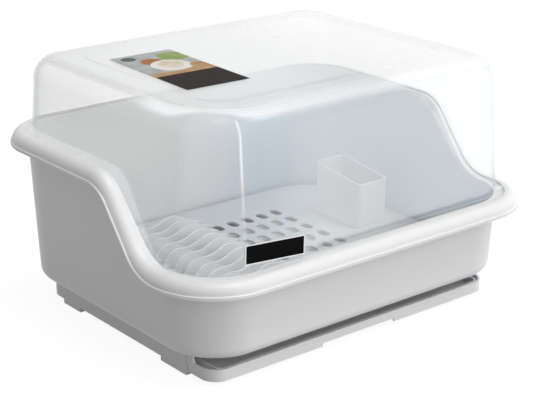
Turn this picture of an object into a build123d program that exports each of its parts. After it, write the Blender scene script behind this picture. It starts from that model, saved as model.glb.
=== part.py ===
from build123d import *
import math
import os

# Dish drainer: a white tub with a rolled rim that is low at the front and high at the back, a clear dome
# over it, a perforated board with plate fins and a cutlery holder inside, and a drip drawer underneath.
# The board and its fins are one moulding, and so are the drip tray and the drawer's front band.
# Millimetres, +Z up, X across the front, -Y towards the front, origin on the table under the middle.

# Rim of the basin: a roll over a small lip that flares out, measured at the lip's outer edge
rim_width = 530.0
rim_depth = 420.0
rim_front_radius = 83.0
rim_rear_radius = 76.0
rim_front_level = 119.0
rim_rear_level = 204.0
rim_height = 16.5
rim_round = 12.0
rim_skin = 2.5
lip_height = 4.0
lip_flare = 1.8
lip_round = 1.2

# Side slope of the rim: its two corners, measured back from the rim's front, and the arcs that round them
slope_low_reach = 112.0
slope_high_reach = 181.0
slope_low_radius = 55.0
slope_high_radius = 45.0

# Seat for the lid's flange, let into the rim's top
seat_inset = 17.0
seat_rear_inset = 8.0
seat_drop = 2.5

# Basin walls and floor
wall_inset = 28.0
wall_front_inset = 28.5
wall_rear_inset = 17.5
wall_radius = 66.0
wall_thickness = 2.5
wall_draft_share = 0.051
basin_round = 14.0
basin_underside = 33.6
floor_thickness = 3.0
outlet_length = 46.0
outlet_width = 9.0
outlet_pitch = 52.0
outlet_margin = 67.0

# Lid
lid_height = 306.0
lid_inset = 27.0
lid_rear_inset = 6.5
lid_radius = 55.0
lid_thickness = 2.0
lid_draft_share = 0.07
lid_round = 27.0
flange_gap = 0.4
seat_gap = 0.3
panel_inset = 18.0
panel_radius = 34.0
panel_step = 1.2
finger_gap_width = 80.0
finger_gap_inset = 79.0

# Stickers: the middle of the top one from the rim's left end and front, the front one's left end from the
# rim's left end and its middle above the rim's line, and each one's turn in degrees
label_thickness = 0.3
lid_label_width = 83.0
lid_label_length = 161.0
lid_label_inset = 140.3
lid_label_reach = 222.5
lid_label_turn = -2.2
front_label_width = 82.0
front_label_height = 22.0
front_label_inset = 84.3
front_label_lift = 30.7
front_label_turn = 4.6

# Drain board
board_level = 52.0
board_thickness = 2.5
board_inset = 37.0
board_front_inset = 34.0
board_rear_inset = 24.0
board_radius = 58.0
board_skirt = 5.0
hole_length = 20.5
hole_width = 12.5
hole_gap = 5.0
hole_margin = 64.0
hole_pitch_x = 24.0
hole_pitch_y = 32.0
hole_columns = 5
leg_radius = 6.0
leg_end_inset = 38.0
leg_front_inset = 36.0
floor_gap = 0.3

# Plate fins: the outline along X, as shares of its length and of its height
fin_pitch = 20.0
fin_margin = 36.0
fin_thickness = 2.5
fin_end_gap = 98.0
fin_length = 132.0
fin_height = 22.5
fin_shares = [(0.02, 0.45), (0.07, 0.84), (0.17, 1.0), (0.32, 0.60), (0.48, 0.66), (0.61, 0.93), (0.72, 0.78),
              (0.84, 0.44), (0.96, 0.17)]
fin_drain_length = 20.0
fin_drain_width = 10.0
fin_drain_reach = 66.0

# Cutlery holder
holder_width = 50.0
holder_depth = 86.0
holder_end_gap = 33.0
holder_rear_gap = 104.0
holder_front_height = 59.0
holder_rear_height = 71.0
holder_radius = 7.0
holder_wall = 2.0
holder_slot_length = 34.0
holder_slot_width = 5.0
holder_slot_pitch = 14.0
holder_slot_margin = 15.0

# Base frame under the basin
frame_inset = 9.0
frame_front_inset = 1.3
frame_rear_inset = 12.3
frame_radius = 21.0
frame_wall = 2.5
frame_flange = 9.0
seam_reach = 51.2
seam_lean = 14.0
foot_height = 5.7
foot_width = 11.0
front_foot_length = 48.5
front_foot_lap = 3.5
rear_foot_length = 37.0
rear_foot_inset = 32.2
runner_width = 19.0
runner_thickness = 2.5

# Drip tray
tray_gap = 0.3
tray_front_height = 14.0
tray_side_gap = 8.7
tray_end_gap = 5.0
tray_wall = 2.5
tray_radius = 10.0
seam_gap = 1.0
slot_reach = 35.2
slot_round = 4.0
recess_width = 112.0
recess_height = 4.5
recess_round = 3.0

# Where a block stands on the point that places it: its low side, its middle or its high side
LOW, MID, HIGH = Align.MIN, Align.CENTER, Align.MAX

# Every cut runs this much past the material
overrun = 4.0

rim_half = rim_width / 2
rim_back = rim_depth / 2
seat_level = rim_height - seat_drop
floor_level = basin_underside + floor_thickness
floor_half = rim_half - wall_inset - basin_round
board_half = rim_half - board_inset
board_front = board_front_inset - rim_back
board_rear = rim_back - board_rear_inset
fin_left = fin_end_gap - board_half
frame_low = foot_height
runner_top = frame_low + runner_thickness
frame_half = floor_half - frame_inset
frame_front = wall_front_inset + basin_round + frame_front_inset - rim_back
frame_rear = rim_back - wall_rear_inset - basin_round - frame_rear_inset
seam_y = frame_front + seam_reach


def copies(span, pitch):
    """How many copies at the pitch fit a span between the first and the last."""
    return 1 + round(span / pitch)


def rounded_plan(half, front, rear, front_radius, rear_radius):
    """Rounded rectangle from -half to half in X and from front to rear in Y."""
    plan = Pos(0, (front + rear) / 2) * Rectangle(half + half, rear - front)
    plan = fillet(plan.vertices().group_by(Axis.Y)[0], front_radius)
    return fillet(plan.vertices().group_by(Axis.Y)[-1], rear_radius)


def rim_plan(inset, rear_inset):
    """The rim's outline, drawn in by one amount at the front and sides and by another at the rear."""
    return rounded_plan(rim_half - inset, inset - rim_back, rim_back - rear_inset,
                        rim_front_radius - inset, rim_rear_radius - (inset + rear_inset) / 2)


def below_rim(raised):
    """Everything under the rim's lower line raised by the given height: level, S-curve, level."""
    low = rim_front_level + raised
    high = rim_rear_level + raised
    corners = [(slope_low_reach - rim_back, low), (slope_high_reach - rim_back, high)]
    line = FilletPolyline((-rim_depth, low), *corners, (rim_depth, high),
                          radius=[slope_low_radius, slope_high_radius])
    closing = Polyline((rim_depth, high), (rim_depth, -overrun), (-rim_depth, -overrun), (-rim_depth, low))
    return extrude(Plane.YZ * make_face([line, closing]), amount=rim_width, both=True)


def outer_top_edges(block, half, front, rear):
    """The edges that run round the top of a block, without its seams and the lines across its top."""
    def keep(edge):
        middle = edge.position_at(0.5)
        upright = abs(edge.tangent_at(0.5).Z) > 0.999
        across = abs(middle.X) < overrun and front + overrun < middle.Y < rear - overrun
        return middle.Z > rim_front_level and not upright and not across
    return block.edges().filter_by(keep)


def rim_block(inset, raised, rounding):
    """Solid of the rim's outline up to the raised line, with its outer top edge rounded."""
    block = extrude(rim_plan(inset, inset), amount=lid_height) & below_rim(raised)
    return fillet(outer_top_edges(block, rim_half - inset, inset - rim_back, rim_back - inset), rounding)


def spread(places, outline):
    """Copies of a flat outline at each of the places, as one sketch."""
    return Sketch() + [place * outline for place in places]


def through(base, thickness, outlines):
    """Cutting tool: the outlines carried through a plate and a little past both of its faces."""
    return extrude(Pos(0, 0, base - overrun) * outlines, amount=thickness + overrun + overrun)


def drafted(half, front, rear, radius, base, top, share):
    """Rounded box whose walls lean outwards (positive share) or inwards (negative share) on the way up."""
    plan = rounded_plan(half, front, rear, radius, radius)
    return extrude(Pos(0, 0, base) * plan, amount=top - base, taper=-math.degrees(math.atan(share)))


def basin_wall(inset, base, rounding):
    """Outer or inner face of the basin's wall: a drafted box with a rounded bottom edge."""
    lean = (base - basin_underside) * wall_draft_share
    half = rim_half - wall_inset - inset + lean
    front = wall_front_inset - rim_back + inset - lean
    rear = rim_back - wall_rear_inset - inset + lean
    box = drafted(half, front, rear, wall_radius - inset + lean, base, lid_height, wall_draft_share)
    return fillet(box.edges().group_by(Axis.Z)[0], rounding)


def basin():
    rim = rim_block(lip_flare, rim_height, rim_round) + rim_block(0, lip_height, lip_round) - below_rim(0)
    under = rim_block(lip_flare + rim_skin, rim_height - rim_skin, rim_round - rim_skin)
    seat_zone = extrude(rim_plan(seat_inset - rim_skin, seat_rear_inset - rim_skin), amount=lid_height)
    under -= seat_zone - below_rim(seat_level - rim_skin)
    outside = basin_wall(0, basin_underside, basin_round)
    inside = basin_wall(wall_thickness, floor_level, basin_round - wall_thickness)
    shell = rim - under + (outside & below_rim(seat_level)) - inside
    recess = extrude(rim_plan(seat_inset, seat_rear_inset), amount=lid_height) - below_rim(seat_level)
    shell -= recess
    outlet_count = copies((floor_half - outlet_margin) * 2, outlet_pitch)
    outlets = spread(GridLocations(outlet_pitch, outlet_pitch, outlet_count, 1),
                     SlotOverall(outlet_length, outlet_width, rotation=90))
    return shell - through(basin_underside, floor_thickness, outlets)


def lid_dome(inset, top):
    """Outer or inner face of the lid: walls that lean inwards and a rounded shoulder."""
    half = rim_half - lid_inset - inset
    front = lid_inset - rim_back + inset
    rear = rim_back - lid_rear_inset - inset
    box = drafted(half, front, rear, lid_radius - inset, rim_front_level, top, -lid_draft_share)
    return fillet(box.edges().group_by(Axis.Z)[-1], lid_round - inset)


def top_panel(inset, base, top):
    """Raised panel in the middle of the lid's top."""
    lean = (lid_height - rim_front_level) * lid_draft_share + lid_round + panel_inset + inset
    plan = rounded_plan(rim_half - lid_inset - lean, lid_inset - rim_back + lean,
                        rim_back - lid_rear_inset - lean, panel_radius, panel_radius)
    return extrude(Pos(0, 0, base) * plan, amount=top - base)


def lid():
    foot = seat_level + seat_gap
    shoulder = lid_height - panel_step
    outside = lid_dome(0, shoulder) + top_panel(0, shoulder - lid_thickness, lid_height)
    inside = lid_dome(lid_thickness, shoulder - lid_thickness)
    inside += top_panel(lid_thickness, shoulder - lid_round, lid_height - lid_thickness)
    flange = extrude(rim_plan(seat_inset + flange_gap, seat_rear_inset + flange_gap), amount=lid_height)
    flange &= below_rim(foot + lid_thickness)
    front_wall = lid_inset - rim_back
    finger_gap = Box(finger_gap_width, rim_back, lid_height, align=(LOW, HIGH, LOW))
    finger_gap = Pos(finger_gap_inset - rim_half, front_wall, 0) * finger_gap
    return outside + (flange - finger_gap) - inside - below_rim(foot)


def lid_label():
    plate = Box(lid_label_width, lid_label_length, label_thickness, align=(MID, MID, LOW))
    place = Pos(lid_label_inset - rim_half, lid_label_reach - rim_back, lid_height)
    return place * Rot(0, 0, lid_label_turn) * plate


def front_label():
    window = Box(front_label_width, rim_back, front_label_height, align=(MID, HIGH, MID))
    middle = front_label_inset + front_label_width / 2 - rim_half
    place = Pos(middle, lid_radius - rim_back, rim_front_level + front_label_lift)
    window = place * Rot(0, front_label_turn, 0) * window
    skin = lid_dome(-label_thickness, lid_height) - lid_dome(0, lid_height - panel_step)
    return skin & window


def board_plan(inset):
    return rounded_plan(board_half - inset, board_front + inset, board_rear - inset,
                        board_radius - inset, board_radius - inset)


def rows(margin, pitch):
    """Number of rows at the pitch, from the margin behind the board's front to the same place at the rear."""
    return copies((-board_front - margin) * 2, pitch)


def hole_field():
    """Oval holes across the middle of the board, long in Y, and one hole in each gap between two fins."""
    holes = spread(GridLocations(hole_pitch_x, hole_pitch_y, hole_columns, rows(hole_margin, hole_pitch_y)),
                   SlotOverall(hole_length, hole_width, rotation=90))
    drains = spread(GridLocations(fin_pitch, fin_pitch, 1, rows(fin_margin, fin_pitch) - 1),
                    SlotOverall(fin_drain_length, fin_drain_width))
    middle = fin_left + fin_length + hole_gap + hole_pitch_x * (hole_columns - 1) / 2
    return Pos(middle, 0) * holes + Pos(fin_left + fin_drain_reach, 0) * drains


def drain_board():
    underside = board_level - board_thickness
    plate = extrude(Pos(0, 0, underside) * board_plan(0), amount=board_thickness)
    skirt = board_plan(0) - board_plan(board_thickness)
    plate += extrude(Pos(0, 0, board_level - board_skirt) * skirt, amount=board_skirt)
    plate -= through(underside, board_thickness, hole_field())
    leg_bottom = floor_level + floor_gap
    leg = Cylinder(leg_radius, underside - leg_bottom, align=(MID, MID, LOW))
    places = GridLocations(board_half - leg_end_inset, board_rear - board_front - leg_front_inset * 2, 3, 2)
    middle = Pos(0, (board_front + board_rear) / 2, leg_bottom)
    return plate + [middle * place * leg for place in places]


def plate_fins():
    """Wavy upright fins along X, one behind the other, on the board's left half."""
    wave = [(fin_left + fin_length * along, board_level + fin_height * up) for along, up in fin_shares]
    start = (fin_left, board_level)
    end = (fin_left + fin_length, board_level)
    outline = make_face([Spline(start, *wave, end), Line(end, start)])
    fin = extrude(Plane.XZ * outline, amount=fin_thickness / 2, both=True)
    places = GridLocations(fin_pitch, fin_pitch, 1, rows(fin_margin, fin_pitch))
    return Compound([place * fin for place in places])


def holder_middle():
    """Place of the holder on the board, from the board's right end and its rear."""
    right = board_half - holder_end_gap
    rear = board_rear - holder_rear_gap
    return Pos(right - holder_width / 2, rear - holder_depth / 2)


def holder_plan(inset):
    width = holder_width - inset - inset
    depth = holder_depth - inset - inset
    return holder_middle() * RectangleRounded(width, depth, holder_radius - inset)


def cutlery_holder():
    base = board_level + floor_gap
    reach = holder_depth / 2 + overrun
    front = (-reach, base + holder_front_height)
    rear = (reach, base + holder_rear_height)
    side = Polyline((front[0], base - overrun), front, rear, (rear[0], base - overrun), close=True)
    below_top = holder_middle() * extrude(Plane.YZ * make_face(side), amount=rim_width, both=True)
    tall = holder_rear_height + overrun
    body = extrude(Pos(0, 0, base) * holder_plan(0), amount=tall) & below_top
    body -= extrude(Pos(0, 0, base + holder_wall) * holder_plan(holder_wall), amount=tall)
    slot_count = copies(holder_depth - holder_slot_margin * 2, holder_slot_pitch)
    slots = spread(GridLocations(holder_slot_pitch, holder_slot_pitch, 1, slot_count),
                   SlotOverall(holder_slot_length, holder_slot_width))
    return body - through(base, holder_wall, holder_middle() * slots)


def frame_plan(inset):
    """Outline of the base: the flat of the basin's underside drawn in a little."""
    return rounded_plan(frame_half - inset, frame_front + inset, frame_rear - inset,
                        frame_radius - inset, frame_radius - inset)


def behind(line_y):
    """Half space behind a line in Y under the basin, as a large box that leans forward on its way down."""
    return Pos(0, line_y, basin_underside) * Rot(-seam_lean, 0, 0) * Box(rim_width, rim_depth, rim_depth,
                                                                        align=(MID, LOW, MID))


def base_frame():
    rear_part = behind(seam_y)
    wall = frame_plan(0) - frame_plan(frame_wall)
    skirt = extrude(Pos(0, 0, frame_low) * wall, amount=basin_underside - frame_low)
    flange = frame_plan(0) - frame_plan(frame_flange)
    skirt += extrude(Pos(0, 0, basin_underside - frame_wall) * flange, amount=frame_wall)
    frame = skirt & rear_part
    inner = frame_half - frame_wall
    feet = [(seam_y - front_foot_lap, front_foot_length),
            (frame_rear - rear_foot_inset - rear_foot_length, rear_foot_length)]
    for side in (-1, 1):
        runner = Box(runner_width, frame_rear - frame_radius - seam_y, runner_thickness,
                     align=(LOW if side < 0 else HIGH, LOW, LOW))
        frame += Pos(side * inner, seam_y, frame_low) * runner
        for foot_front, foot_length in feet:
            foot = Box(foot_width, foot_length, foot_height,
                       align=(LOW if side < 0 else HIGH, LOW, LOW))
            frame += Pos(side * frame_half, foot_front, 0) * foot
    return frame


def drawer_front():
    """Band of the base that goes with the drawer: its front and both corners, with a finger slot on top."""
    low = frame_low + tray_gap
    top = basin_underside - seam_gap
    band = extrude(Pos(0, 0, low) * (frame_plan(0) - frame_plan(tray_wall)), amount=top - low)
    band -= behind(seam_y - seam_gap)
    slot = Box(rim_width, slot_reach + overrun, top - low - tray_front_height + slot_round,
               align=(MID, LOW, LOW))
    slot = Pos(0, frame_front - overrun, low + tray_front_height) * slot
    slot = fillet(slot.edges().filter_by(Axis.X).group_by(Axis.Z)[0].group_by(Axis.Y)[-1], slot_round)
    recess = Box(recess_width, tray_wall + overrun + overrun, recess_height + overrun, align=(MID, LOW, HIGH))
    recess = fillet(recess.edges().filter_by(Axis.Y).group_by(Axis.Z)[-1], recess_round)
    return band - slot - Pos(0, frame_front - overrun, low + recess_height) * recess


def drip_tray():
    """Shallow pan behind the drawer's front: a floor, and a low wall that stands round its edge."""
    half = frame_half - tray_side_gap - tray_wall
    front = frame_front + tray_wall
    rear = frame_rear - frame_wall - tray_end_gap
    base = runner_top + tray_gap
    inner_radius = tray_radius - tray_wall
    outer = rounded_plan(half, front, rear, tray_radius, tray_radius)
    inner = rounded_plan(half - tray_wall, front + tray_wall, rear - tray_wall, inner_radius, inner_radius)
    pan_floor = extrude(Pos(0, 0, base) * outer, amount=tray_wall)
    height = frame_low + tray_gap + tray_front_height - base - tray_wall
    pan_wall = extrude(Pos(0, 0, base + tray_wall) * (outer - inner), amount=height)
    return Compound([pan_floor, pan_wall])


os.makedirs("parts", exist_ok=True)
makers = [basin, base_frame, drip_tray, drawer_front, drain_board, plate_fins, cutlery_holder, lid, lid_label,
          front_label]
for maker in makers:
    export_step(maker(), f"parts/{maker.__name__}.step")
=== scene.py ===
import math

import bpy
import numpy as np
from mathutils import Matrix

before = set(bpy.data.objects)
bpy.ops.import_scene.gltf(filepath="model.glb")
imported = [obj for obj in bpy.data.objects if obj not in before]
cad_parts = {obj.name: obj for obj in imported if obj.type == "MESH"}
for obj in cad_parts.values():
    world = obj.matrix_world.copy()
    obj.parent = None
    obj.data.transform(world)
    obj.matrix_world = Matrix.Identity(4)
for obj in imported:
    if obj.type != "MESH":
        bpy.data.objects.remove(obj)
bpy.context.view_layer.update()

MM = 0.001

# Camera, from a perspective fit of the rim, the base and the lid in the photograph
CAMERA_AZIMUTH = -39.23
CAMERA_ELEVATION = 19.85
CAMERA_DISTANCE = 1.8147
CAMERA_FOCUS_PIXELS = 1491.5
CAMERA_ROLL = 0.33
CAMERA_TARGET = (-0.0027, 0.0023, 0.1226)
PHOTO_WIDTH = 533
SENSOR_WIDTH = 36.0

# Light: an even one from all round, a broad low one, and a soft lamp high up at the front right
AMBIENT_LIGHT = 0.355
LOW_LIGHT = 2.45
LOW_LIGHT_AZIMUTH = 38
LOW_LIGHT_POWER = 3.0
KEY_AZIMUTH = 33
KEY_ELEVATION = 72
KEY_STRENGTH = 1.1
KEY_SPREAD = 35

# Floor: its width in metres, its grey where the eye sees it and where it lights the object, and its own white
FLOOR_WIDTH = 14
FLOOR_PAINT = 0.18
FLOOR_BOUNCE = 0.35
FLOOR_GLOW = 0.91

# Satin polypropylene: sizes in mm of the melt's flow, the tool's grain and its patches of uneven gloss, how
# far the roughness goes below and above its plain value in those, and the share and the depth in mm of the
# light that sinks in
FLOW_SIZE = 70
GRAIN_SIZE = 2
GRAIN_DEPTH = 0.1
GLOSS_SIZE = 14
GLOSS_SPREAD = (0.03, 0.04)
POLYPROPYLENE_IOR = 1.49
GLOW_SHARE = 0.08
GLOW_DEPTH = 1.5
# Where the tub's inside is painted cool, in mm to the right, and the distance from the tub's middle axis, in
# mm along a face's normal, that marks the face as an inner one
COOL_STRETCH = (40, 140)
COOL_TURN = (-10, -50)
# Height in mm at which the board's plate ends and the fins, with their painted glow, begin
FIN_FOOT = (52.2, 56)

# Share of what lies behind it that the holder hides where it is faced and edge on, and its etched grain in mm
HOLDER_SHARES = (0.5, 0.8)
HOLDER_GRAIN_SIZE = 3
HOLDER_GRAIN_DEPTH = 0.3
# Blend of the Layer Weight node that tells how far a clear surface turns away from the eye
TURN_BLEND = 0.35

# The same share for each surface of the lid: the top at the right and at the left end, the front wall at the
# right and at the left end, the other walls where they are faced and edge on, and the factors of these two at
# the right and at the left end
LID_TOP_SHARES = (0.2, 0.56)
LID_FRONT_SHARES = (0.26, 0.07)
LID_SIDE_SHARES = (0.05, 0.5)
LID_SIDE_FACTORS = (0.3, 1.1)
# Shares of the painted highlight band on the shoulder and of the painted highlight line at the front wall's
# edge
LID_SHOULDER_SHARE = 0.52
LID_BEND_SHARE = 0.6
# Factor of these shares at the top for the light that falls in, which the walls don't hold back at all
LID_TOP_SHADE = 0.15
# Stretches over which these change, in mm to the left of the lid's middle
TOP_STRETCH = (-200, 60)
FRONT_STRETCH = (60, 180)
SIDE_STRETCH = (-20, 160)
# Stretch over which the milk is painted darker towards the left end, as painted shade
PAINTED_SHADE_STRETCH = (60, 220)
# Edge of the front wall's flat, in mm to the left of the middle, and how soft it is
LID_FLAT = 178
LID_FLAT_SOFT = 1
# Painted highlight line beside that edge: how far beyond it, its outer and inner half width, and the heights
# in mm between which it brightens from its faint share
BEND_OFFSET = 1.5
BEND_WIDTHS = (2.2, 0.6)
BEND_HEIGHTS = (170, 270)
BEND_FAINT = 0.2
# How level a surface is, from 0 for upright to 1 for flat, where the top begins and where the walls begin
TOP_LEVELS = (0.72, 0.97)
WALL_LEVELS = (0.8, 0.6)
# How squarely a wall looks to the front where the front wall's look begins
FRONT_TURN = (0.3, 0.8)
# Bend in which the milk of the top turns the near corner: its middle, in mm to the left and to the front of
# the lid's, and its radius
MILK_BEND_MIDDLE = (145, 90)
MILK_BEND_RADIUS = 80
# Painted highlight band on the shoulder and end of the milk, in mm outwards from that bend, and the band's
# fading in towards the front
BAND_START = (-20, -13)
BAND_END = (-2.5, -6)
MILK_END = (-5, -12)
BAND_FADE = (0, -80)
# Waves of the lid's wall, which is too thin to cool evenly
WAVE_SIZE = 30
WAVE_DEPTH = 0.5

# The stickers' middles in mm and their turns in degrees, as in the CAD
LID_LABEL_PLACE = (-124.7, 12.5, 306.0)
LID_LABEL_TURN = -2.2
FRONT_LABEL_PLACE = (-139.7, -183.0, 149.7)
FRONT_LABEL_TURN = 4.6
FRONT_LABEL_HALF_WIDTH = 41.0
FRONT_LABEL_HALF_HEIGHT = 11.0
FRONT_LABEL_BORDER = 1.2
# How soft each print's edges are, in mm to either side: a picture's, its tan field's and the fine border's
PICTURE_SOFT = 0.3
GREY_SOFT = 4
BORDER_SOFT = 0.15
# The gloss film on both: size in mm of its patches, and how far the roughness goes below and above in them
FILM_SIZE = 9
FILM_SPREAD = (0.03, 0.05)
# Top sticker, in mm along it from its middle: the front edge of its grey field, and that of its tan one,
# before which it is dark
GREY_EDGE = -4
DARK_EDGE = -19
MOTTLE_SIZE = 16
# Round things in its picture, the lowest first: middle and radius in mm, and the two colours of its mottle
PICTURE = (
    ((27, 52), 19, "#6F8A3E", "#B4BE86"),
    ((-7, 42), 14, "#A9714A", "#A9714A"),
    ((3, 18), 24, "#D8D2C8", "#F6F5F1"),
    ((5, 22), 15, "#C9B79A", "#EFE7D8"),
    ((32, 4), 11, "#8F6238", "#D9B78C"),
    ((-25, 66), 9, "#5E6264", "#5E6264"),
)


def linear(hex_colour):
    """An sRGB hex colour as linear red, green, blue and alpha."""
    channels = np.array([int(hex_colour[i:i + 2], 16) for i in (1, 3, 5)]) / 255
    curved = np.where(channels <= 0.04045, channels / 12.92, ((channels + 0.055) / 1.055) ** 2.4)
    return (*(float(value) for value in curved), 1.0)


def add(tree, kind, inputs=None, **settings):
    """Adds a node, sets its properties, and gives each named input a value or a link."""
    node = tree.nodes.new(kind)
    for name, value in settings.items():
        setattr(node, name, value)
    for name, value in (inputs or {}).items():
        if isinstance(value, bpy.types.NodeSocket):
            tree.links.new(value, node.inputs[name])
        else:
            node.inputs[name].default_value = value
    return node


def new_material(name):
    """An empty node material with its tree and its output node."""
    material = bpy.data.materials.new(name)
    material.use_nodes = True
    tree = material.node_tree
    tree.nodes.clear()
    return material, tree, add(tree, "ShaderNodeOutputMaterial")


def noise(tree, size_mm, detail=2.0):
    """Noise on Object coordinates whose lumps are about size_mm across."""
    place = add(tree, "ShaderNodeTexCoord").outputs["Object"]
    lumps = add(tree, "ShaderNodeTexNoise", {"Vector": place, "Scale": 1 / (size_mm * MM), "Detail": detail})
    return lumps.outputs["Fac"]


def uneven(tree, size_mm, plain, spread):
    """A value that wanders below and above its plain one by the spread, in patches of the size."""
    below, above = spread
    return blend(tree, noise(tree, size_mm), plain - below, plain + above)


def bumped(tree, size_mm, depth_mm, strength):
    """A normal that noise of the size and depth stirs."""
    return add(tree, "ShaderNodeBump", {"Height": noise(tree, size_mm), "Strength": strength,
                                       "Distance": depth_mm * MM}).outputs["Normal"]


def smooth(tree, source, stretch, unit=1.0):
    """A mask: 0 at the stretch's first value, 1 at its last, eased between them."""
    start, end = stretch
    return add(tree, "ShaderNodeMapRange", {"Value": source, "From Min": start * unit, "From Max": end * unit},
               interpolation_type="SMOOTHSTEP").outputs["Result"]


def edge(tree, source, place_mm, soft_mm):
    """A mask: 0 below the place and 1 above it, with a straight ramp as far to either side as it is soft."""
    start, end = (place_mm - soft_mm) * MM, (place_mm + soft_mm) * MM
    slope = add(tree, "ShaderNodeMapRange", {"Value": source, "From Min": start, "From Max": end})
    return slope.outputs["Result"]


def blend(tree, mask, below, above):
    """One value or colour where the mask is 0, another where it is 1."""
    coloured = any(isinstance(end, tuple) or getattr(end, "type", None) == "RGBA" for end in (below, above))
    return add(tree, "ShaderNodeMix", {"Factor": mask, "A": below, "B": above},
               data_type="RGBA" if coloured else "FLOAT").outputs["Result"]


def both(tree, *masks):
    """The part that all of the masks share: their product."""
    shared = masks[0]
    for mask in masks[1:]:
        shared = add(tree, "ShaderNodeMath", {0: shared, 1: mask}, operation="MULTIPLY").outputs["Value"]
    return shared


def either(tree, *masks):
    """What any of the masks holds: the largest of them."""
    held = masks[0]
    for mask in masks[1:]:
        held = add(tree, "ShaderNodeMath", {0: held, 1: mask}, operation="MAXIMUM").outputs["Value"]
    return held


def eye_rays(tree):
    """1 for rays that show a thing, straight, mirrored or through something clear, and 0 for the others."""
    path = add(tree, "ShaderNodeLightPath")
    kinds = ("Is Camera Ray", "Is Glossy Ray", "Is Transmission Ray")
    return either(tree, *(path.outputs[kind] for kind in kinds))


def turned_away(tree):
    """0 where a surface is faced and 1 where it is seen edge on."""
    weight = add(tree, "ShaderNodeLayerWeight", {"Blend": TURN_BLEND})
    return smooth(tree, weight.outputs["Facing"], (0.0, 1.0))


def layered(tree, output, share, under, cover):
    """Ends a material in two shaders, the cover over the one under it by its share."""
    mixed = add(tree, "ShaderNodeMixShader", {"Fac": share, 1: under, 2: cover})
    tree.links.new(mixed.outputs["Shader"], output.inputs["Surface"])


def painted_cool_cast_mask(tree):
    """1 on the tub's inner faces towards its right end, eased in over a hand's breadth: where the painted cool
    cast goes.

    A face looks inwards where the dot product of its place in plan and its normal is below zero.
    """
    place = add(tree, "ShaderNodeTexCoord")
    flat = add(tree, "ShaderNodeVectorMath", {0: place.outputs["Object"], 1: (1, 1, 0)}, operation="MULTIPLY")
    outward = add(tree, "ShaderNodeVectorMath", {0: flat.outputs["Vector"], 1: place.outputs["Normal"]},
                  operation="DOT_PRODUCT").outputs["Value"]
    spot = add(tree, "ShaderNodeSeparateXYZ", {"Vector": place.outputs["Object"]})
    return both(tree, smooth(tree, outward, COOL_TURN, MM), smooth(tree, spot.outputs["X"], COOL_STRETCH, MM))


def painted_fin_glow_mask(tree):
    """1 on what stands above the board's plate: the thin fins, painted whiter for the light that would come
    through them.
    """
    spot = add(tree, "ShaderNodeSeparateXYZ", {"Vector": add(tree, "ShaderNodeTexCoord").outputs["Object"]})
    return smooth(tree, spot.outputs["Z"], FIN_FOOT, MM)


def moulded_polypropylene(name, pale_hex, deep_hex, gloss, other_hex, where):
    """Opaque polypropylene, injection moulded in a satin tool: an even white with a soft sheen.

    Where the given mask is 1 it is painted in the other colour, which the callers use for painted light.
    """
    material, tree, output = new_material(name)
    # flow of the melt leaves the white very slightly uneven over a hand's breadth
    colour = blend(tree, noise(tree, FLOW_SIZE, 3.0), linear(deep_hex), linear(pale_hex))
    # where the mask says, the other colour is painted over the white: painted light, not the plastic's own
    # colour
    colour = blend(tree, where(tree), colour, linear(other_hex))
    # the satin tool leaves fine grain, drawn coarser than the real one, which is too fine to show, and its
    # polish varies a little from place to place
    grain = bumped(tree, GRAIN_SIZE, GRAIN_DEPTH, 0.01)
    shine = uneven(tree, GLOSS_SIZE, gloss, GLOSS_SPREAD)
    # light sinks in a little way and softens the edges
    skin = add(tree, "ShaderNodeBsdfPrincipled",
               {"Base Color": colour, "Roughness": shine, "IOR": POLYPROPYLENE_IOR, "Normal": grain,
                "Subsurface Weight": GLOW_SHARE, "Subsurface Radius": (1.0, 1.0, 1.0),
                "Subsurface Scale": GLOW_DEPTH * MM})
    tree.links.new(skin.outputs["BSDF"], output.inputs["Surface"])
    return material


def frosted_polypropylene(name):
    """Natural polypropylene, moulded thin in an etched tool: half see-through when faced, milkier edge on."""
    material, tree, output = new_material(name)
    share = blend(tree, turned_away(tree), *HOLDER_SHARES)
    skin = add(tree, "ShaderNodeBsdfPrincipled",
               {"Base Color": linear("#EEF1F3"), "Roughness": 0.3, "IOR": 1.6, "Specular IOR Level": 0.9,
                "Normal": bumped(tree, HOLDER_GRAIN_SIZE, HOLDER_GRAIN_DEPTH, 0.05)})
    clear = add(tree, "ShaderNodeBsdfTransparent", {"Color": linear("#FFFFFF")})
    layered(tree, output, share, clear.outputs["BSDF"], skin.outputs["BSDF"])
    return material


def beyond_milk_bend(tree, place):
    """Distance in metres outwards from the bend in which the milk turns the near corner, negative inside it.

    The place is turned about, so that left and front count up from the bend's middle, and cut off at zero. Its
    length is then the distance from the middle round the corner, and from a straight line beside it.
    """
    left, front = MILK_BEND_MIDDLE
    past = add(tree, "ShaderNodeVectorMath", {0: place, 1: (-1, -1, 0), 2: (-left * MM, -front * MM, 0)},
               operation="MULTIPLY_ADD").outputs["Vector"]
    past = add(tree, "ShaderNodeVectorMath", {0: past, 1: (0, 0, 0)}, operation="MAXIMUM").outputs["Vector"]
    reach = add(tree, "ShaderNodeVectorMath", {0: past}, operation="LENGTH").outputs["Value"]
    beyond = add(tree, "ShaderNodeMath", {0: reach, 1: MILK_BEND_RADIUS * MM}, operation="SUBTRACT")
    return beyond.outputs["Value"]


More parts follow.
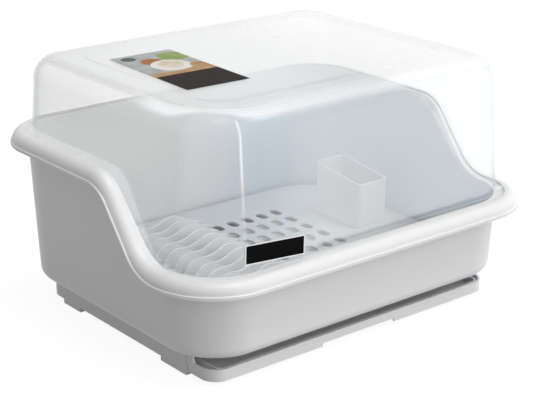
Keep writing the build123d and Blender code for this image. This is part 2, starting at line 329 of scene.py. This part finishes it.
def lid_masks(tree):
    """Where on the lid each look holds: top, front wall, the painted highlight line at that wall's left edge,
    and the painted highlight band on the shoulder.

    The fifth is no mask: it says how far to the left a place lies, in metres.
    """
    place = add(tree, "ShaderNodeTexCoord")
    spot = add(tree, "ShaderNodeSeparateXYZ", {"Vector": place.outputs["Object"]})
    size = add(tree, "ShaderNodeVectorMath", {0: place.outputs["Normal"]}, operation="ABSOLUTE")
    facing = add(tree, "ShaderNodeSeparateXYZ", {"Vector": size.outputs["Vector"]})
    level = facing.outputs["Z"]
    x, y, z = (spot.outputs[axis] for axis in "XYZ")
    leftward = add(tree, "ShaderNodeMath", {0: x, 1: -1.0}, operation="MULTIPLY").outputs["Value"]
    ahead = add(tree, "ShaderNodeMath", {0: y, 1: 0.0}, operation="LESS_THAN").outputs["Value"]
    wall = both(tree, ahead, smooth(tree, level, WALL_LEVELS))

    flat = smooth(tree, leftward, (LID_FLAT + LID_FLAT_SOFT, LID_FLAT - LID_FLAT_SOFT), MM)
    front = both(tree, flat, wall, smooth(tree, facing.outputs["Y"], FRONT_TURN))

    # painted highlight line beside the edge of the front wall's flat
    line = (LID_FLAT + BEND_OFFSET) * MM
    aside = add(tree, "ShaderNodeMath", {0: leftward, 1: line}, operation="SUBTRACT").outputs["Value"]
    aside = add(tree, "ShaderNodeMath", {0: aside}, operation="ABSOLUTE").outputs["Value"]
    strength = blend(tree, smooth(tree, z, BEND_HEIGHTS, MM), BEND_FAINT, 1.0)
    bend = both(tree, smooth(tree, aside, BEND_WIDTHS, MM), wall, strength)

    beyond = beyond_milk_bend(tree, place.outputs["Object"])
    # painted highlight band on the shoulder
    shoulder = both(tree, smooth(tree, beyond, BAND_START, MM), smooth(tree, beyond, BAND_END, MM),
                    smooth(tree, y, BAND_FADE, MM))
    top = both(tree, smooth(tree, level, TOP_LEVELS), smooth(tree, beyond, MILK_END, MM))
    return top, front, bend, shoulder, leftward


def lid_share(tree, top, front, bend, shoulder, leftward):
    """How much of what lies behind it the lid hides, each look laid over the one before."""
    side_factor = blend(tree, smooth(tree, leftward, SIDE_STRETCH, MM), *LID_SIDE_FACTORS)
    front_share = blend(tree, smooth(tree, leftward, FRONT_STRETCH, MM), *LID_FRONT_SHARES)
    top_share = blend(tree, smooth(tree, leftward, TOP_STRETCH, MM), *LID_TOP_SHARES)
    share = both(tree, blend(tree, turned_away(tree), *LID_SIDE_SHARES), side_factor)
    share = blend(tree, front, share, front_share)
    share = blend(tree, bend, share, LID_BEND_SHARE)
    share = blend(tree, shoulder, share, LID_SHOULDER_SHARE)
    share = blend(tree, top, share, top_share)
    # the light that falls in meets quite clear walls and a nearly clear top
    return both(tree, share, blend(tree, eye_rays(tree), blend(tree, top, 0.0, LID_TOP_SHADE), 1.0))


def lid_styrene(name):
    """Clear styrene, injection moulded thin in a polished tool.

    Its top is milky and its walls are half clear, the right end nearly quite so. Its front wall mirrors the
    bright room in a soft sheen, and the same sheen is laid on as a painted highlight line at that wall's left
    edge and a painted highlight band on the shoulder above it. The milk is painted darker towards the left end
    as painted shade.
    """
    material, tree, output = new_material(name)
    top, front, bend, shoulder, leftward = lid_masks(tree)
    share = lid_share(tree, top, front, bend, shoulder, leftward)
    # the milk is painted darker towards the left end: painted shade on the lid's unlit side
    milk_shade = blend(tree, smooth(tree, leftward, PAINTED_SHADE_STRETCH, MM), linear("#F5F6F7"), linear("#E8E9EA"))
    milk = add(tree, "ShaderNodeBsdfPrincipled",
               {"Base Color": milk_shade, "Roughness": 0.08, "IOR": 1.6, "Specular IOR Level": 0.9,
                "Normal": bumped(tree, WAVE_SIZE, WAVE_DEPTH, 0.2)})
    sheen = add(tree, "ShaderNodeBsdfGlossy", {"Color": linear("#FDFEFF"), "Roughness": 0.2})
    # the sheen lies on the front wall and, as painted highlights, on the line and the shoulder band
    mirrored = either(tree, front, bend, shoulder)
    veil = add(tree, "ShaderNodeMixShader",
               {"Fac": mirrored, 1: milk.outputs["BSDF"], 2: sheen.outputs["BSDF"]})
    cast = blend(tree, front, linear("#FFFFFF"), linear("#FEFFFF"))
    clear = add(tree, "ShaderNodeBsdfTransparent", {"Color": cast})
    layered(tree, output, share, clear.outputs["BSDF"], veil.outputs["Shader"])
    return material


def on_label(tree, place_mm, turn):
    """Coordinates on a sticker, in metres from its middle, along its own sides."""
    place = add(tree, "ShaderNodeTexCoord").outputs["Object"]
    turn = tuple(math.radians(angle) for angle in turn)
    moved = add(tree, "ShaderNodeVectorMath", {0: place, 1: tuple(value * MM for value in place_mm)},
                operation="SUBTRACT")
    return add(tree, "ShaderNodeVectorRotate", {"Vector": moved.outputs["Vector"], "Rotation": turn},
               rotation_type="EULER_XYZ", invert=True).outputs["Vector"]


def disc(tree, place, middle_mm, radius_mm):
    """1 inside a disc on the sticker: where the distance in its plane from the middle is below the radius."""
    across, along = middle_mm
    away = add(tree, "ShaderNodeVectorMath", {0: place, 1: (across * MM, along * MM, 0)},
               operation="SUBTRACT").outputs["Vector"]
    flat = add(tree, "ShaderNodeVectorMath", {0: away, 1: (1, 1, 0)}, operation="MULTIPLY").outputs["Vector"]
    reach = add(tree, "ShaderNodeVectorMath", {0: flat}, operation="LENGTH").outputs["Value"]
    return blend(tree, edge(tree, reach, radius_mm, PICTURE_SOFT), 1.0, 0.0)


def glossy_print(tree, output, colour, gloss):
    """Ink under a gloss film, which shines a little unevenly."""
    shine = uneven(tree, FILM_SIZE, gloss, FILM_SPREAD)
    skin = add(tree, "ShaderNodeBsdfPrincipled",
               {"Base Color": colour, "Roughness": shine, "IOR": 1.3, "Specular IOR Level": 0.1})
    tree.links.new(skin.outputs["BSDF"], output.inputs["Surface"])


def printed_label(name):
    """Printed paper under film: a mottled picture of table things at the rear, a dark field at the front."""
    material, tree, output = new_material(name)
    place = on_label(tree, LID_LABEL_PLACE, (0, 0, LID_LABEL_TURN))
    along = add(tree, "ShaderNodeSeparateXYZ", {"Vector": place}).outputs["Y"]
    mottle = noise(tree, MOTTLE_SIZE, 3.0)
    grey = blend(tree, mottle, linear("#8B8F91"), linear("#CFD1D0"))
    tan = blend(tree, mottle, linear("#8F6238"), linear("#D9B78C"))
    colour = blend(tree, edge(tree, along, GREY_EDGE, GREY_SOFT), tan, grey)
    for middle, radius, deep_hex, pale_hex in PICTURE:
        ink = blend(tree, mottle, linear(deep_hex), linear(pale_hex))
        colour = blend(tree, disc(tree, place, middle, radius), colour, ink)
    colour = blend(tree, edge(tree, along, DARK_EDGE, PICTURE_SOFT), linear("#1F1615"), colour)
    glossy_print(tree, output, colour, 0.5)
    return material


def bordered_label(name):
    """Gloss black print with a fine white border."""
    material, tree, output = new_material(name)
    place = on_label(tree, FRONT_LABEL_PLACE, (0, FRONT_LABEL_TURN, 0))
    beyond = add(tree, "ShaderNodeVectorMath", {0: place}, operation="ABSOLUTE").outputs["Vector"]
    axes = add(tree, "ShaderNodeSeparateXYZ", {"Vector": beyond})
    ends = edge(tree, axes.outputs["X"], FRONT_LABEL_HALF_WIDTH - FRONT_LABEL_BORDER, BORDER_SOFT)
    sides = edge(tree, axes.outputs["Z"], FRONT_LABEL_HALF_HEIGHT - FRONT_LABEL_BORDER, BORDER_SOFT)
    border = either(tree, ends, sides)
    glossy_print(tree, output, blend(tree, border, linear("#060607"), linear("#F6F6F6")), 0.4)
    return material


def dress(node, material):
    """Gives a carried-over node its material."""
    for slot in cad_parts[node].material_slots:
        slot.material = material


# the tub's inside has a painted cool cast, standing in for the cooler light that the lid's front wall lets in
tub_plastic = moulded_polypropylene("white_moulded_polypropylene", "#EDEDED", "#E9E9E9", 0.38,
                                    "#DEE9F3", painted_cool_cast_mask)
for moulding in ("basin", "base_frame", "drip_tray", "drawer_front"):
    dress(moulding, tub_plastic)
# the board is painted greyer and cooler than the tub, as painted shade and a painted cool cast under the lid,
# and its fins are painted whiter for the light that comes through them
board_plastic = moulded_polypropylene("white_board_polypropylene", "#C9CED2", "#C5CACE", 0.36,
                                      "#F2F3F4", painted_fin_glow_mask)
for moulding in ("drain_board", "plate_fins"):
    dress(moulding, board_plastic)
dress("cutlery_holder", frosted_polypropylene("frosted_polypropylene"))
dress("lid", lid_styrene("clear_moulded_styrene"))
dress("lid_label", printed_label("printed_label"))
dress("front_label", bordered_label("black_label"))


def studio_floor():
    """Pale floor that ends far outside the view."""
    bpy.ops.mesh.primitive_plane_add(size=FLOOR_WIDTH, location=(0, 0, 0))
    floor = bpy.context.object
    floor.name = "studio_floor"
    material, tree, output = new_material("studio_floor")
    # it looks white, and throws no more light up at the object than a mid grey would
    paint = add(tree, "ShaderNodeBsdfDiffuse", {"Color": (FLOOR_PAINT, FLOOR_PAINT, FLOOR_PAINT, 1.0)})
    bounce = add(tree, "ShaderNodeBsdfDiffuse", {"Color": (FLOOR_BOUNCE, FLOOR_BOUNCE, FLOOR_BOUNCE, 1.0)})
    glow = add(tree, "ShaderNodeEmission", {"Color": (1.0, 1.0, 1.0, 1.0), "Strength": FLOOR_GLOW})
    white = add(tree, "ShaderNodeAddShader", {0: paint.outputs["BSDF"], 1: glow.outputs["Emission"]})
    layered(tree, output, eye_rays(tree), bounce.outputs["BSDF"], white.outputs["Shader"])
    floor.data.materials.append(material)


def studio_world():
    """White surroundings for what sees them; for what is lit by them a plain light and a broad low one.

    The low one comes from its azimuth, level with the floor, and falls off as a power of the cosine.
    """
    world = bpy.data.worlds.new("studio")
    bpy.context.scene.world = world
    world.use_nodes = True
    tree = world.node_tree
    tree.nodes.clear()
    output = add(tree, "ShaderNodeOutputWorld")
    way = add(tree, "ShaderNodeTexCoord").outputs["Generated"]
    turn = math.radians(LOW_LIGHT_AZIMUTH)
    faced = add(tree, "ShaderNodeVectorMath", {0: way, 1: (math.sin(turn), -math.cos(turn), 0)},
                operation="DOT_PRODUCT").outputs["Value"]
    faced = add(tree, "ShaderNodeMath", {0: faced, 1: 0.0}, operation="MAXIMUM").outputs["Value"]
    lobe = add(tree, "ShaderNodeMath", {0: faced, 1: LOW_LIGHT_POWER}, operation="POWER").outputs["Value"]
    light = add(tree, "ShaderNodeMath", {0: lobe, 1: LOW_LIGHT, 2: AMBIENT_LIGHT},
                operation="MULTIPLY_ADD").outputs["Value"]
    surroundings = add(tree, "ShaderNodeBackground",
                       {"Color": (1.0, 1.0, 1.0, 1.0), "Strength": blend(tree, eye_rays(tree), light, 1.0)})
    tree.links.new(surroundings.outputs["Background"], output.inputs["Surface"])


def key_lamp():
    """Distant soft lamp: azimuth 0 shines from the front, 90 from the right."""
    data = bpy.data.lights.new("key_lamp", "SUN")
    data.energy = KEY_STRENGTH
    data.angle = math.radians(KEY_SPREAD)
    lamp = bpy.data.objects.new("key_lamp", data)
    lamp.rotation_euler = (math.radians(90 - KEY_ELEVATION), 0, math.radians(KEY_AZIMUTH))
    bpy.context.collection.objects.link(lamp)


def studio_camera():
    """Camera at the photograph's place: azimuth 0 looks along +Y, negative azimuth stands to the left.

    back points from the target to the camera, level is to the camera's right in the horizontal plane,
    and the roll turns level and the upward axis about back.
    """
    azimuth, elevation = math.radians(CAMERA_AZIMUTH), math.radians(CAMERA_ELEVATION)
    roll = math.radians(CAMERA_ROLL)
    back = np.array([math.sin(azimuth) * math.cos(elevation), -math.cos(azimuth) * math.cos(elevation),
                     math.sin(elevation)])
    level = np.array([math.cos(azimuth), math.sin(azimuth), 0])
    upright = np.cross(back, level)
    right = level * math.cos(roll) + upright * math.sin(roll)
    up = upright * math.cos(roll) - level * math.sin(roll)
    place = np.array(CAMERA_TARGET) + back * CAMERA_DISTANCE
    data = bpy.data.cameras.new("camera")
    data.sensor_width = SENSOR_WIDTH
    data.lens = CAMERA_FOCUS_PIXELS / PHOTO_WIDTH * SENSOR_WIDTH
    camera = bpy.data.objects.new("camera", data)
    axes = np.eye(4)
    axes[:3, 0], axes[:3, 1], axes[:3, 2], axes[:3, 3] = right, up, back, place
    camera.matrix_world = Matrix(axes.tolist())
    bpy.context.collection.objects.link(camera)
    bpy.context.scene.camera = camera


studio_floor()
studio_world()
key_lamp()
studio_camera()
bpy.context.scene.view_settings.view_transform = "Standard"
